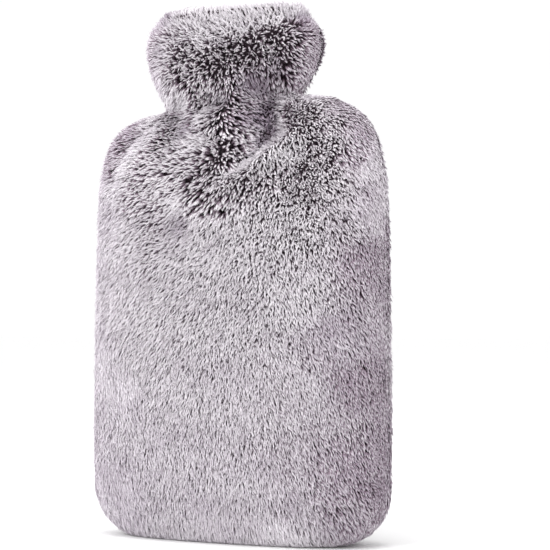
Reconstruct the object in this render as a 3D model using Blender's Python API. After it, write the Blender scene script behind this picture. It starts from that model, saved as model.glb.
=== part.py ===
"""Plush hot water bottle cover, two-litre size, standing upright in the shape that it has when filled.

Two panels of long-pile fur cloth, front and back, are sewn together down both sides and under the
base, and stay open at the top of the collar. The cloth is drawn in at the neck, so that it bunches
there into ridges and dimples, and the collar above it flares.

Metres, +Z up, the front faces -Y. The origin is on the floor, under the middle of the base.
"""

import math
from collections import namedtuple

import bmesh
import bpy
from mathutils import Vector

MM = 0.001

# Driving sizes. The outer ones reach to the tips of the pile.
BODY_HALF_WIDTH = 106 * MM
BODY_HALF_DEPTH = 40 * MM
CORNER_RADIUS = 35 * MM  # lower corners of the body, seen from the front
BASE_HALF_DEPTH = 26 * MM  # the flat strip that the cover stands on
BASE_ROUND_HEIGHT = 24 * MM  # how high the rounded lower edge runs up the front and the back
NECK_HALF_WIDTH = 49.5 * MM
RIM_HEIGHT = 340 * MM  # where the collar's rounded rim starts
RIM_RISE = 7 * MM
RIM_LEAN = math.radians(28)  # how far the cloth already leans inwards where the rim starts
INSIDE_FLOOR = 9 * MM  # cloth and pile together, at the base
SEAM_GAP = 0.3 * MM  # between the two panels, where they are sewn

# How fine the mesh is.
COLUMNS = 36
CORNER_ROWS = 6
RIM_ROWS = 5
FINE_STEPS = 120  # for measuring round a section

# One row for each height at which the section changes. half_width and half_depth are shares of the
# body's, and the depth runs from the seam to the front. squareness is the exponent of the section's
# rounded oblong: 2 is an ellipse. rows is the number of mesh rows up to the next height.
Section = namedtuple("Section", "height half_width half_depth squareness rows")
OUTER_SHAPE = [
    Section(0 * MM, 1.000, 0.90, 2.7, 0),
    Section(35 * MM, 1.000, 1.00, 2.7, 2),
    Section(95 * MM, 1.004, 1.03, 2.6, 3),
    Section(175 * MM, 1.000, 1.02, 2.5, 2),
    Section(215 * MM, 0.994, 0.99, 2.4, 2),
    Section(232 * MM, 0.986, 0.95, 2.4, 2),
    Section(246 * MM, 0.968, 0.885, 2.3, 2),
    Section(258 * MM, 0.938, 0.835, 2.3, 2),
    Section(266 * MM, 0.896, 0.81, 2.3, 2),
    Section(272 * MM, 0.842, 0.77, 2.3, 2),
    Section(277 * MM, 0.770, 0.72, 2.2, 1),
    Section(281 * MM, 0.670, 0.67, 2.2, 1),
]
NECK_SHAPE = [
    Section(284.5 * MM, 1.000, 0.62, 2.2, 1),
    Section(289 * MM, 1.020, 0.61, 2.2, 2),
    Section(296 * MM, 1.110, 0.66, 2.3, 2),
    Section(307 * MM, 1.215, 0.75, 2.3, 3),
    Section(319 * MM, 1.262, 0.80, 2.4, 2),
    Section(328 * MM, 1.245, 0.79, 2.4, 2),
    Section(334 * MM, 1.205, 0.76, 2.4, 2),
    Section(RIM_HEIGHT, 1.115, 0.70, 2.4, 0),
]
# The inner side of the cloth, as shares of the body's outer sizes.
INNER_SHAPE = [
    Section(INSIDE_FLOOR, 0.58, 0.42, 2.4, 1),
    Section(14 * MM, 0.76, 0.62, 2.5, 1),
    Section(28 * MM, 0.88, 0.74, 2.6, 1),
    Section(50 * MM, 0.915, 0.79, 2.6, 2),
    Section(130 * MM, 0.920, 0.80, 2.6, 2),
    Section(212 * MM, 0.905, 0.76, 2.4, 2),
    Section(240 * MM, 0.875, 0.71, 2.3, 2),
    Section(256 * MM, 0.810, 0.63, 2.3, 2),
    Section(266 * MM, 0.715, 0.55, 2.3, 1),
    Section(273 * MM, 0.580, 0.47, 2.2, 1),
    Section(279 * MM, 0.440, 0.42, 2.2, 1),
    Section(288 * MM, 0.385, 0.39, 2.2, 1),
    Section(296 * MM, 0.420, 0.43, 2.2, 2),
    Section(308 * MM, 0.475, 0.52, 2.3, 2),
    Section(320 * MM, 0.500, 0.56, 2.4, 1),
    Section(331 * MM, 0.470, 0.53, 2.4, 1),
    Section(RIM_HEIGHT, 0.405, 0.45, 2.4, 0),
]

# How the cloth leans above the body. sideways moves a section, and lift raises its right end and
# lowers its left one by the same amount.
Lean = namedtuple("Lean", "height sideways lift")
LEANS = [
    Lean(0 * MM, 0 * MM, 0 * MM),
    Lean(215 * MM, 0 * MM, 0 * MM),
    Lean(268 * MM, -1 * MM, 3 * MM),
    Lean(284 * MM, -3 * MM, 4 * MM),
    Lean(305 * MM, -3.5 * MM, 1 * MM),
    Lean(RIM_HEIGHT, -3.5 * MM, 0 * MM),
]

# The bunched cloth. Each fold runs along a line on the panel as seen from the front, from (x, z)
# to (x_end, z_end). height is positive on a ridge and negative in a trough or dimple.
INSIDE_FOLD_SHARE = 0.45  # how much of a fold shows on the inner side of the cloth
Fold = namedtuple("Fold", "x z x_end z_end half_width height")
FRONT_FOLDS = [
    Fold(8 * MM, 289 * MM, 9 * MM, 256 * MM, 10 * MM, 6.5 * MM),  # ridge below the collar
    Fold(32 * MM, 286 * MM, 35 * MM, 271 * MM, 9 * MM, -8 * MM),  # dimple right of it
    Fold(-36 * MM, 282 * MM, -30 * MM, 268 * MM, 8 * MM, -6 * MM),  # dimple left of it
    Fold(35 * MM, 268 * MM, 17 * MM, 243 * MM, 8 * MM, -5.5 * MM),  # slanting trough
    Fold(56 * MM, 261 * MM, 12 * MM, 232 * MM, 8 * MM, 4.2 * MM),  # lit ridge under the trough
    Fold(-41 * MM, 275 * MM, -66 * MM, 255 * MM, 5 * MM, -2.5 * MM),  # crease over the shoulder
    Fold(-66 * MM, 255 * MM, -78 * MM, 205 * MM, 5 * MM, -2 * MM),  # and down the left side
    Fold(-58 * MM, 244 * MM, -24 * MM, 240 * MM, 13 * MM, 3 * MM),  # swell right of the crease
    Fold(-14 * MM, 290 * MM, -2 * MM, 285 * MM, 6 * MM, -4 * MM),  # tuck under the collar
    Fold(33 * MM, 312 * MM, 25 * MM, 290 * MM, 8 * MM, -5 * MM),  # trough up into the collar
    Fold(-30 * MM, 300 * MM, -26 * MM, 284 * MM, 8 * MM, 3 * MM),  # soft ridge beside it
]
BACK_FOLDS = [
    Fold(2 * MM, 292 * MM, 4 * MM, 255 * MM, 9 * MM, 5.5 * MM),
    Fold(-22 * MM, 287 * MM, -30 * MM, 262 * MM, 8 * MM, -6 * MM),
    Fold(24 * MM, 288 * MM, 33 * MM, 264 * MM, 8 * MM, -6 * MM),
    Fold(-36 * MM, 266 * MM, -60 * MM, 238 * MM, 10 * MM, 3 * MM),
    Fold(42 * MM, 264 * MM, 62 * MM, 240 * MM, 9 * MM, 3 * MM),
    Fold(10 * MM, 316 * MM, 6 * MM, 292 * MM, 8 * MM, -4 * MM),
]

FUR_COLOUR = (0.50, 0.46, 0.50, 1.0)
FUR_ROUGHNESS = 0.9


def sized(shape, half_width):
    """A table of shares as a table of sizes."""
    return [
        s._replace(half_width=s.half_width * half_width, half_depth=s.half_depth * BODY_HALF_DEPTH)
        for s in shape
    ]


def smooth_value(values, t):
    """A value between the middle two of four, on the smooth curve through them."""
    p0, p1, p2, p3 = values
    return 0.5 * (
        2 * p1
        + (p2 - p0) * t
        + (2 * p0 - 5 * p1 + 4 * p2 - p3) * t**2
        + (3 * p1 - p0 - 3 * p2 + p3) * t**3
    )


def sections_between(table):
    """Every section of the mesh: the table's own and the smooth ones between them."""
    last = len(table) - 1
    found = []
    for i in range(last):
        four = [table[max(i - 1, 0)], table[i], table[i + 1], table[min(i + 2, last)]]
        for k in range(table[i].rows):
            t = k / table[i].rows
            height = table[i].height + t * (table[i + 1].height - table[i].height)
            sizes = [smooth_value([section[column] for section in four], t) for column in (1, 2, 3)]
            found.append(Section(height, *sizes, 1))
    return found + [table[last]]


def rounded_base(floor, straight):
    """The outer sections of the lower corners, from the floor up to the first straight one."""
    found = []
    for k in range(CORNER_ROWS):
        height = CORNER_RADIUS * (1 - math.cos(math.pi / 2 * k / CORNER_ROWS))
        run = CORNER_RADIUS - height
        width = floor.half_width - CORNER_RADIUS + math.sqrt(CORNER_RADIUS**2 - run**2)
        share = height / straight.height
        depth = floor.half_depth + share * (straight.half_depth - floor.half_depth)
        rise = 1 - min(height / BASE_ROUND_HEIGHT, 1)
        depth -= (floor.half_depth - BASE_HALF_DEPTH) * (1 - math.sqrt(1 - rise**2))
        found.append(Section(height, width, depth, floor.squareness, 1))
    return found


def outer_sections():
    """The outer sections from the floor to the rim."""
    table = sized(OUTER_SHAPE, BODY_HALF_WIDTH) + sized(NECK_SHAPE, NECK_HALF_WIDTH)
    return rounded_base(table[0], table[1]) + sections_between(table[1:])


def inner_sections():
    """The sections of the cloth's inner side."""
    return sections_between(sized(INNER_SHAPE, BODY_HALF_WIDTH))


def lean_at(height):
    """How far the cloth leans sideways at a height, and how far its ends are lifted."""
    for low, high in zip(LEANS, LEANS[1:]):
        if height <= high.height:
            break
    t = min((height - low.height) / (high.height - low.height), 1)
    t = t * t * (3 - 2 * t)
    return (
        low.sideways + t * (high.sideways - low.sideways),
        low.lift + t * (high.lift - low.lift),
    )


def fold_height(folds, x, z):
    """How far the bunched cloth stands out at a place on the panel."""
    total = 0.0
    for fold in folds:
        along = Vector((fold.x_end - fold.x, fold.z_end - fold.z))
        reach = Vector((x - fold.x, z - fold.z))
        share = min(max(reach.dot(along) / along.length_squared, 0), 1)
        away = (reach - along * share).length / fold.half_width
        total += fold.height * math.exp(-away * away)
    return total


def half_outline(section):
    """Points spaced evenly round half a section, from its right end to its left one."""
    fine = []
    for k in range(FINE_STEPS + 1):
        across = math.cos(math.pi * k / FINE_STEPS)
        out = max(1 - abs(across) ** section.squareness, 0) ** (1 / section.squareness)
        fine.append(Vector((across * section.half_width, out * section.half_depth)))
    lengths = [0.0]
    for a, b in zip(fine, fine[1:]):
        lengths.append(lengths[-1] + (b - a).length)
    points = []
    k = 0
    for column in range(COLUMNS + 1):
        wanted = lengths[-1] * column / COLUMNS
        while k < FINE_STEPS - 1 and lengths[k + 1] < wanted:
            k += 1
        share = (wanted - lengths[k]) / (lengths[k + 1] - lengths[k])
        points.append(fine[k].lerp(fine[k + 1], share))
    return points


def cloth_points(section, facing, folds, fold_share):
    """One row of points on one side of the cloth. facing is -1 for the front and 1 for the back."""
    sideways, lift = lean_at(section.height)
    points = []
    for across, out in half_outline(section):
        x = across + sideways
        z = section.height + lift * across / section.half_width
        clear_of_seam = min(1, 2 * out / section.half_depth)
        depth = out + fold_share * clear_of_seam**2 * fold_height(folds, x, z)
        points.append(Vector((x, facing * (depth + SEAM_GAP / 2), z)))
    return points


def rim_points(outer, inner, turn):
    """One row over the rounded rim, which joins the outer side's last row to the inner side's."""
    row = []
    for a, b in zip(outer, inner):
        point = (a + b) / 2 + (a - b) / 2 * math.cos(turn) / math.cos(RIM_LEAN)
        rise = (math.sin(turn) - math.sin(RIM_LEAN)) / (1 - math.sin(RIM_LEAN))
        point.z = RIM_HEIGHT + RIM_RISE * rise
        row.append(point)
    return row


def seam_points(row, facing):
    """The row of the seam's points under the base, beside this one."""
    return [Vector((point.x, facing * SEAM_GAP / 2, point.z)) for point in row]


def panel_mesh(name, facing, folds):
    """One panel as a closed shell: up the outer side, over the rim and down the inner side."""
    outer = [cloth_points(s, facing, folds, 1) for s in outer_sections()]
    inner = [cloth_points(s, facing, folds, INSIDE_FOLD_SHARE) for s in inner_sections()]
    turn_step = (math.pi - 2 * RIM_LEAN) / (RIM_ROWS + 1)
    turns = [RIM_LEAN + turn_step * k for k in range(1, RIM_ROWS + 1)]
    rim = [rim_points(outer[-1], inner[-1], turn) for turn in turns]
    under, floor = seam_points(outer[0], facing), seam_points(inner[0], facing)
    rows = [under, *outer, *rim, *reversed(inner), floor]

    bm = bmesh.new()
    grid = [[bm.verts.new(point) for point in row] for row in rows]
    for low, high in zip(grid, grid[1:] + grid[:1]):
        for k in range(COLUMNS):
            bm.faces.new((low[k], low[k + 1], high[k + 1], high[k]))
    bm.faces.new([row[0] for row in grid])
    bm.faces.new([row[-1] for row in grid])
    bmesh.ops.remove_doubles(bm, verts=bm.verts, dist=0.01 * MM)
    bmesh.ops.triangulate(bm, faces=bm.faces)
    bmesh.ops.recalc_face_normals(bm, faces=bm.faces)
    mesh = bpy.data.meshes.new(name)
    bm.to_mesh(mesh)
    bm.free()
    mesh.shade_smooth()
    mesh.set_sharp_from_angle(angle=math.radians(50))
    return mesh


def fur_material():
    material = bpy.data.materials.new("fur")
    material.use_nodes = True
    shader = material.node_tree.nodes["Principled BSDF"]
    shader.inputs["Base Color"].default_value = FUR_COLOUR
    shader.inputs["Roughness"].default_value = FUR_ROUGHNESS
    return material


def add_panel(name, facing, folds, material, parent):
    mesh = panel_mesh(name, facing, folds)
    mesh.materials.append(material)
    panel = bpy.data.objects.new(name, mesh)
    panel.parent = parent
    bpy.context.scene.collection.objects.link(panel)


def main():
    for leftover in list(bpy.data.objects):
        bpy.data.objects.remove(leftover, do_unlink=True)
    cover = bpy.data.objects.new("cover", None)
    bpy.context.scene.collection.objects.link(cover)
    fur = fur_material()
    add_panel("front_panel", -1, FRONT_FOLDS, fur, cover)
    add_panel("back_panel", 1, BACK_FOLDS, fur, cover)


main()
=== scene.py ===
# %% [markdown]
# # A plush cover for a hot water bottle
#
# The cover is two panels of long-pile plush, sewn together down the sides and under the base, drawn
# in at the neck and flared into a soft collar. Seen close, plush is two things: a thin backing cloth
# with the folds in it, and a very large number of fibres standing on that cloth in small locks. This
# lesson builds both. The backing comes from the model that the frame brings, so it has the right
# size and place, and the pile is grown on it, lock by lock, and combed the way that the real one is.

import math
from collections import namedtuple

import bpy
import numpy as np
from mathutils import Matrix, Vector
from mathutils.kdtree import KDTree


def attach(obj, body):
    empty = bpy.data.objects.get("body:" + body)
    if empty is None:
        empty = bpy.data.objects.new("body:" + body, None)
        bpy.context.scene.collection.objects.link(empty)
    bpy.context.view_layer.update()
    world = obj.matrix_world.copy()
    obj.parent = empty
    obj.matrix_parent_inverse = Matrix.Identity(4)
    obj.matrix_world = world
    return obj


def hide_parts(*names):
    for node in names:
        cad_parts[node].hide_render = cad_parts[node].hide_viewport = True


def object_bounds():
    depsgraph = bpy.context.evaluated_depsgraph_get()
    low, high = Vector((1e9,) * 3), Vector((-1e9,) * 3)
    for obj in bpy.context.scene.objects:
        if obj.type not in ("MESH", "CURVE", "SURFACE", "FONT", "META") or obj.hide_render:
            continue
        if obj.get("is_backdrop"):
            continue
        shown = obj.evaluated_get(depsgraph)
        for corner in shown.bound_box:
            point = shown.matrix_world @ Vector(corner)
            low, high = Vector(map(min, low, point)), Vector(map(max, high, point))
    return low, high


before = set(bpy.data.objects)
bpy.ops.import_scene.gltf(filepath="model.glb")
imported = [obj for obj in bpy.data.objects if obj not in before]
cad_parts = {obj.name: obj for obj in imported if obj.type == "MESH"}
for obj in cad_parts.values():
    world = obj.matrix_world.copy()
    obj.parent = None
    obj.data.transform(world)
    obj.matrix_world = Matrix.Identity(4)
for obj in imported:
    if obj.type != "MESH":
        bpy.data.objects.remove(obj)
cad_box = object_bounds()
MM = 0.001

# %% [markdown]
# ## The camera
#
# A camera that stands 1.2 m away with a long lens keeps the upright edges nearly parallel, as in a
# product picture. It stands 30 degrees round to the right of the cover's front and a little below
# its middle, so the top of the collar hides its own opening. The lens is worked out from the number
# of pixels that one unit of distance covers, because that is what can be measured in a picture.

# %% Place the camera
VIEW_TURN = math.radians(30)
VIEW_DISTANCE = 1.2
VIEW_HEIGHT = 0.140
AIM_HEIGHT = 0.1725
AIM_RIGHT = 0.0237  # the camera looks past the cover, which then stands left of the middle
IMAGE_PIXELS = 550
FOCAL_PIXELS = 1830  # at a distance of 1 m, 1 m covers this many pixels
SENSOR_MM = 36

camera_data = bpy.data.cameras.new("camera")
camera = bpy.data.objects.new("camera", camera_data)
bpy.context.scene.collection.objects.link(camera)
camera_data.sensor_width = SENSOR_MM
camera_data.lens = FOCAL_PIXELS / IMAGE_PIXELS * SENSOR_MM
camera_place = Vector((math.sin(VIEW_TURN), -math.cos(VIEW_TURN), 0)) * VIEW_DISTANCE
camera_place.z = VIEW_HEIGHT
to_the_right = Vector((math.cos(VIEW_TURN), math.sin(VIEW_TURN), 0))
aim = Vector((0, 0, AIM_HEIGHT)) + to_the_right * AIM_RIGHT
camera.location = camera_place
camera.rotation_euler = (aim - camera_place).to_track_quat("-Z", "Y").to_euler()
bpy.context.scene.camera = camera
print(f"lens {camera_data.lens:.1f} mm")

# %% [markdown]
# ## Which way the pile lies
#
# Plush has a nap: its fibres lean, and brushing leaves them leaning differently from place to place.
# That, more than its colour, is what the eye reads as fur. One row of this table is one stroke of
# the brush on a panel, seen from the front. x and z are its place in millimetres. right and up say
# which way the fibres lean there, and how far: 0 stands straight up from the cloth and 1 lies flat.
# length is the fibre's and lock is the distance from one lock to the next, both in millimetres.
# gather is how tightly the tips of a lock are drawn together, dark is how far up a fibre the dark of
# its root comes, and tone runs from 0, a tip of the deepest lilac, to 1, the palest. In places dark
# and tone paint light and shade, as the notes in the table say. Between the strokes everything
# changes smoothly.

# %% The strokes of the brush
Stroke = namedtuple("Stroke", "x z right up length lock gather dark tone")
FRONT_STROKES = [
    # The body: combed down, and fanned out from the middle.
    Stroke(-99, 30, 0.22, -0.95, 6.0, 0.58, 0.10, 0.05, 0.57),
    Stroke(-99, 110, 0.20, -0.95, 6.0, 0.58, 0.10, 0.10, 0.62),
    Stroke(-99, 190, 0.02, -0.95, 6.0, 0.58, 0.10, 0.10, 0.64),
    Stroke(-74, 30, 0.34, -0.84, 6.5, 0.62, 0.20, 0.22, 0.54),
    Stroke(-74, 100, 0.34, -0.84, 6.5, 0.62, 0.20, 0.22, 0.62),
    Stroke(-70, 165, -0.12, -0.76, 6.5, 0.62, 0.30, 0.34, 0.72),
    Stroke(-55, 60, 0.22, -0.76, 6.5, 0.66, 0.35, 0.26, 0.62),
    Stroke(-50, 130, -0.12, -0.68, 6.5, 0.66, 0.39, 0.34, 0.80),
    Stroke(-30, 30, 0.16, -0.72, 6.5, 0.66, 0.35, 0.26, 0.65),
    Stroke(-30, 100, 0.00, -0.70, 6.5, 0.66, 0.35, 0.26, 0.73),
    Stroke(-30, 165, -0.22, -0.60, 6.5, 0.70, 0.40, 0.28, 0.82),
    Stroke(15, 30, 0.16, -0.72, 6.5, 0.66, 0.35, 0.28, 0.65),
    Stroke(0, 8, 0.16, -0.86, 6.5, 0.66, 0.30, 0.26, 0.62),
    Stroke(15, 100, 0.15, -0.68, 6.5, 0.66, 0.32, 0.22, 0.70),
    Stroke(15, 165, 0.02, -0.58, 6.5, 0.70, 0.34, 0.18, 0.80),
    Stroke(60, 30, 0.28, -0.72, 7.5, 0.72, 0.39, 0.55, 0.60),
    Stroke(50, 8, 0.24, -0.86, 6.5, 0.66, 0.30, 0.34, 0.70),
    Stroke(60, 100, 0.26, -0.70, 6.5, 0.66, 0.39, 0.50, 0.69),
    Stroke(60, 165, 0.26, -0.60, 6.5, 0.70, 0.40, 0.34, 0.79),
    # Down the right edge the tips are deeper and the dark comes far up: painted shade on the side
    # away from the key lamp.
    Stroke(88, 30, 0.42, -0.74, 8.5, 0.9, 0.50, 0.95, 0.52),
    Stroke(88, 130, 0.32, -0.74, 7.0, 0.78, 0.39, 0.62, 0.52),
    Stroke(101, 40, 0.36, -0.84, 6.5, 0.85, 0.60, 0.95, 0.42),
    Stroke(101, 110, 0.30, -0.86, 6.5, 0.85, 0.60, 0.95, 0.47),
    Stroke(101, 180, 0.28, -0.86, 6.5, 0.85, 0.60, 0.85, 0.48),
    # The left shoulder: brushed away from the neck, over and down. A smooth pale welt crosses it.
    Stroke(-96, 228, -0.16, -0.92, 6.5, 0.90, 0.20, 0.22, 0.60),
    Stroke(-84, 212, -0.22, -0.80, 7.5, 0.80, 0.25, 0.20, 0.62),
    # In the crease down the left shoulder the tips are deeper and the dark comes far up: painted
    # shade over the real trough.
    Stroke(-86, 246, -0.82, -0.40, 8.0, 1.05, 0.67, 0.98, 0.47),
    Stroke(-78, 257, -0.86, -0.30, 8.0, 1.10, 0.67, 0.98, 0.45),
    Stroke(-70, 266, -0.84, -0.10, 7.5, 1.05, 0.65, 0.90, 0.45),
    Stroke(-52, 268, -0.56, -0.42, 7.5, 0.90, 0.15, 0.30, 0.74),
    Stroke(-64, 257, -0.52, -0.48, 7.5, 0.90, 0.15, 0.22, 0.78),
    Stroke(-74, 246, -0.50, -0.56, 7.5, 0.90, 0.15, 0.20, 0.76),
    Stroke(-82, 230, -0.42, -0.66, 7.5, 0.90, 0.15, 0.18, 0.74),
    Stroke(-53, 250, -0.74, -0.24, 8.0, 1.22, 0.65, 1.01, 0.84),
    Stroke(-62, 238, -0.58, -0.46, 8.0, 1.20, 0.65, 0.86, 0.82),
    Stroke(-69, 223, -0.50, -0.58, 7.5, 1.22, 0.59, 0.86, 0.78),
    Stroke(-62, 200, -0.34, -0.60, 7.0, 0.86, 0.45, 0.50, 0.80),
    Stroke(-42, 258, -0.60, -0.26, 7.5, 1.15, 0.67, 1.04, 0.90),
    Stroke(-44, 242, -0.66, -0.26, 8.0, 1.22, 0.65, 0.76, 0.86),
    Stroke(-46, 224, -0.56, -0.44, 7.5, 1.28, 0.59, 0.86, 0.80),
    Stroke(-45, 206, -0.40, -0.46, 7.0, 0.98, 0.50, 0.66, 0.78),
    Stroke(-30, 246, -0.66, -0.16, 8.0, 1.20, 0.63, 0.72, 0.90),
    Stroke(-29, 233, -0.60, -0.36, 8.5, 1.25, 0.67, 0.74, 0.92),
    Stroke(-26, 219, -0.46, -0.54, 7.5, 1.15, 0.50, 0.30, 0.88),
    Stroke(-22, 206, -0.32, -0.52, 6.5, 0.78, 0.20, 0.18, 0.56),
    # The ridge below the collar, and the place that the fibres spread from.
    # At the two dimples, -22, 268 and 13, 272, the tips are deep lilac and the dark comes far up:
    # painted shade in the hollows.
    Stroke(-34, 272, -0.24, -0.52, 8.0, 1.2, 0.74, 0.95, 0.70),
    Stroke(-22, 268, -0.50, -0.36, 8.0, 1.02, 0.50, 1.00, 0.45),
    Stroke(-11, 276, -0.36, -0.52, 8.0, 1.22, 0.55, 0.36, 0.90),
    Stroke(3, 277, 0.38, -0.68, 8.0, 1.50, 0.67, 1.00, 0.86),
    Stroke(13, 272, 0.74, -0.44, 8.5, 1.50, 0.63, 1.24, 0.36),
    Stroke(1, 266, 0.20, -0.66, 8.0, 1.50, 0.67, 1.00, 0.95),
    Stroke(16, 262, 0.74, -0.40, 8.5, 1.50, 0.63, 1.08, 0.74),
    Stroke(9, 262, 0.44, -0.62, 8.0, 1.50, 0.67, 0.85, 0.85),
    Stroke(6, 250, 0.25, -0.08, 7.5, 1.60, 0.66, 0.82, 0.96),
    Stroke(8, 256, 0.28, 0.36, 7.5, 1.40, 0.68, 0.88, 0.92),
    Stroke(-2, 253, -0.62, 0.10, 9.0, 1.50, 0.65, 0.90, 0.94),
    Stroke(19, 253, 0.84, -0.20, 9.0, 1.28, 0.59, 0.90, 0.78),
    Stroke(9, 244, 0.26, -0.78, 9.0, 1.50, 0.67, 0.92, 0.94),
    Stroke(-15, 256, -0.74, -0.06, 8.0, 1.15, 0.50, 0.40, 0.92),
    Stroke(-14, 243, -0.66, -0.14, 8.5, 1.35, 0.63, 0.95, 0.92),
    Stroke(-3, 237, -0.30, -0.58, 9.0, 1.35, 0.68, 1.04, 0.92),
    Stroke(13, 239, 0.50, -0.60, 8.5, 1.28, 0.63, 0.86, 0.88),
    # Down to 40, 258 the tips are deep lilac: painted shade in the trough above the lit welt.
    Stroke(27, 274, 0.16, -0.54, 7.5, 0.96, 0.56, 0.72, 0.18),
    Stroke(34, 263, 0.04, -0.34, 7.5, 1.15, 0.63, 0.95, 0.22),
    Stroke(26, 256, 0.40, -0.16, 6.5, 0.90, 0.50, 0.70, 0.24),
    Stroke(34, 254, 0.50, 0.00, 6.0, 0.82, 0.35, 0.52, 0.40),
    Stroke(22, 247, 0.46, -0.20, 6.5, 0.90, 0.55, 0.80, 0.26),
    Stroke(40, 258, 0.40, -0.04, 6.0, 0.85, 0.40, 0.55, 0.58),
    # The lit welt, whose palest tips with little dark are a painted highlight on its crest, the dark
    # beard that hangs from it, and the smooth places under that.
    Stroke(53, 254, 0.06, -0.34, 6.5, 0.95, 0.40, 0.16, 1.00),
    Stroke(54, 249, 0.18, -0.46, 6.5, 0.85, 0.38, 0.50, 0.90),
    Stroke(36, 247, 0.06, -0.34, 7.0, 0.90, 0.45, 0.10, 0.98),
    Stroke(38, 241, 0.20, -0.50, 6.5, 0.85, 0.38, 0.10, 1.0),
    Stroke(25, 241, 0.04, -0.34, 7.0, 0.90, 0.35, 0.18, 0.98),
    Stroke(20, 238, 0.04, -0.34, 7.0, 0.90, 0.35, 0.15, 1.0),
    Stroke(15, 234, 0.00, -0.36, 7.0, 0.90, 0.35, 0.18, 0.98),
    Stroke(10, 232, -0.02, -0.36, 7.0, 0.90, 0.38, 0.22, 1.0),
    Stroke(7, 229, -0.06, -0.40, 6.5, 0.90, 0.45, 0.50, 0.92),
    Stroke(46, 243, 0.20, -0.50, 7.5, 0.85, 0.40, 0.80, 0.84),
    Stroke(50, 247, 0.20, -0.50, 7.0, 0.85, 0.40, 0.26, 0.98),
    Stroke(49, 236, 0.08, -0.44, 7.5, 1.10, 0.62, 0.95, 0.88),
    Stroke(44, 250, 0.20, -0.50, 7.0, 0.85, 0.35, 0.06, 0.98),
    Stroke(31, 242, 0.20, -0.50, 7.0, 0.85, 0.35, 0.06, 0.98),
    Stroke(20, 235, -0.08, -0.46, 7.0, 0.90, 0.40, 0.30, 0.98),
    Stroke(37, 233, 0.10, -0.52, 8.5, 1.41, 0.67, 0.98, 0.92),
    Stroke(26, 229, 0.02, -0.54, 9.0, 1.50, 0.68, 1.07, 0.90),
    Stroke(15, 222, -0.06, -0.66, 10.5, 1.6, 0.68, 1.07, 0.90),
    Stroke(2, 219, -0.22, -0.68, 11.0, 1.7, 0.68, 1.07, 0.90),
    Stroke(-13, 224, -0.46, -0.50, 10.5, 1.6, 0.68, 1.04, 0.90),
    Stroke(-8, 216, -0.34, -0.70, 11.0, 1.7, 0.68, 1.04, 0.92),
    Stroke(6, 214, -0.10, -0.72, 10.5, 1.7, 0.68, 1.04, 0.88),
    Stroke(20, 216, 0.00, -0.62, 9.5, 1.50, 0.67, 0.62, 0.88),
    Stroke(34, 222, 0.04, -0.54, 7.5, 1.10, 0.65, 0.64, 0.90),
    Stroke(-6, 199, -0.16, -0.60, 6.5, 0.75, 0.20, 0.20, 0.84),
    Stroke(-10, 206, -0.20, -0.64, 6.5, 0.75, 0.20, 0.15, 0.84),
    Stroke(4, 203, -0.04, -0.66, 6.5, 0.75, 0.20, 0.15, 0.84),
    Stroke(14, 200, 0.00, -0.58, 7.0, 0.80, 0.25, 0.22, 0.88),
    Stroke(19, 206, 0.02, -0.60, 6.5, 0.80, 0.25, 0.22, 0.88),
    Stroke(36, 206, 0.04, -0.50, 6.5, 0.92, 0.45, 0.30, 0.88),
    # The right shoulder: shorter, standing more, with dark showing between the locks, and deeper
    # tips towards its right edge, which are painted shade.
    Stroke(44, 283, 0.06, -0.24, 7.0, 0.9, 0.67, 0.46, 0.95),
    Stroke(46, 270, 0.10, -0.18, 7.0, 0.88, 0.67, 0.98, 0.84),
    Stroke(40, 269, 0.10, -0.20, 7.0, 0.90, 0.65, 1.00, 0.60),
    Stroke(60, 284, 0.66, -0.36, 5.5, 0.80, 0.25, 0.32, 0.74),
    Stroke(61, 273, 0.16, -0.32, 7.0, 0.86, 0.67, 0.62, 0.92),
    Stroke(76, 276, 0.62, -0.60, 6.5, 0.80, 0.25, 0.75, 0.56),
    Stroke(75, 267, 0.38, -0.54, 7.0, 0.88, 0.65, 0.78, 0.76),
    Stroke(92, 264, 0.50, -0.80, 6.5, 0.85, 0.25, 0.78, 0.53),
    Stroke(62, 257, 0.12, -0.28, 7.0, 0.95, 0.65, 0.64, 1.00),
    Stroke(62, 241, 0.10, -0.34, 7.0, 0.90, 0.67, 0.80, 0.94),
    Stroke(76, 251, 0.24, -0.36, 7.0, 0.98, 0.63, 0.66, 0.90),
    Stroke(89, 247, 0.50, -0.70, 8.0, 1.1, 0.59, 0.85, 0.58),
    Stroke(101, 240, 0.42, -0.84, 6.5, 0.85, 0.30, 0.40, 0.62),
    Stroke(60, 225, 0.06, -0.42, 7.0, 0.88, 0.65, 0.74, 0.92),
    Stroke(76, 230, 0.20, -0.46, 7.0, 0.86, 0.61, 0.58, 0.90),
    Stroke(58, 206, 0.08, -0.48, 6.5, 0.82, 0.50, 0.12, 0.95),
    Stroke(84, 210, 0.28, -0.54, 7.0, 0.84, 0.48, 0.48, 0.70),
    Stroke(101, 214, 0.36, -0.86, 6.5, 0.85, 0.40, 0.50, 0.56),
    # The neck: long strands that run down into the folds, and plum in the shadow under the
    # collar's edge, which is painted shade.
    Stroke(-46, 290, -0.50, -0.76, 8.5, 1.02, 0.45, 0.50, 0.72),
    Stroke(-36, 297, -0.26, -0.62, 8.5, 1.28, 0.63, 0.52, 0.80),
    Stroke(-21, 298, -0.24, -0.58, 8.5, 1.2, 0.65, 0.98, 0.86),
    Stroke(-9, 299, -0.12, -0.60, 8.0, 1.22, 0.61, 0.96, 0.80),
    Stroke(4, 300, 0.20, -0.60, 8.0, 1.25, 0.65, 1.08, 0.72),
    Stroke(-5, 286, 0.10, -0.56, 8.0, 1.41, 0.65, 0.88, 0.60),
    Stroke(12, 288, 0.55, -0.50, 8.0, 1.28, 0.61, 0.98, 0.50),
    Stroke(19, 299, 0.04, -0.60, 8.0, 1.02, 0.57, 0.80, 0.30),
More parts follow.
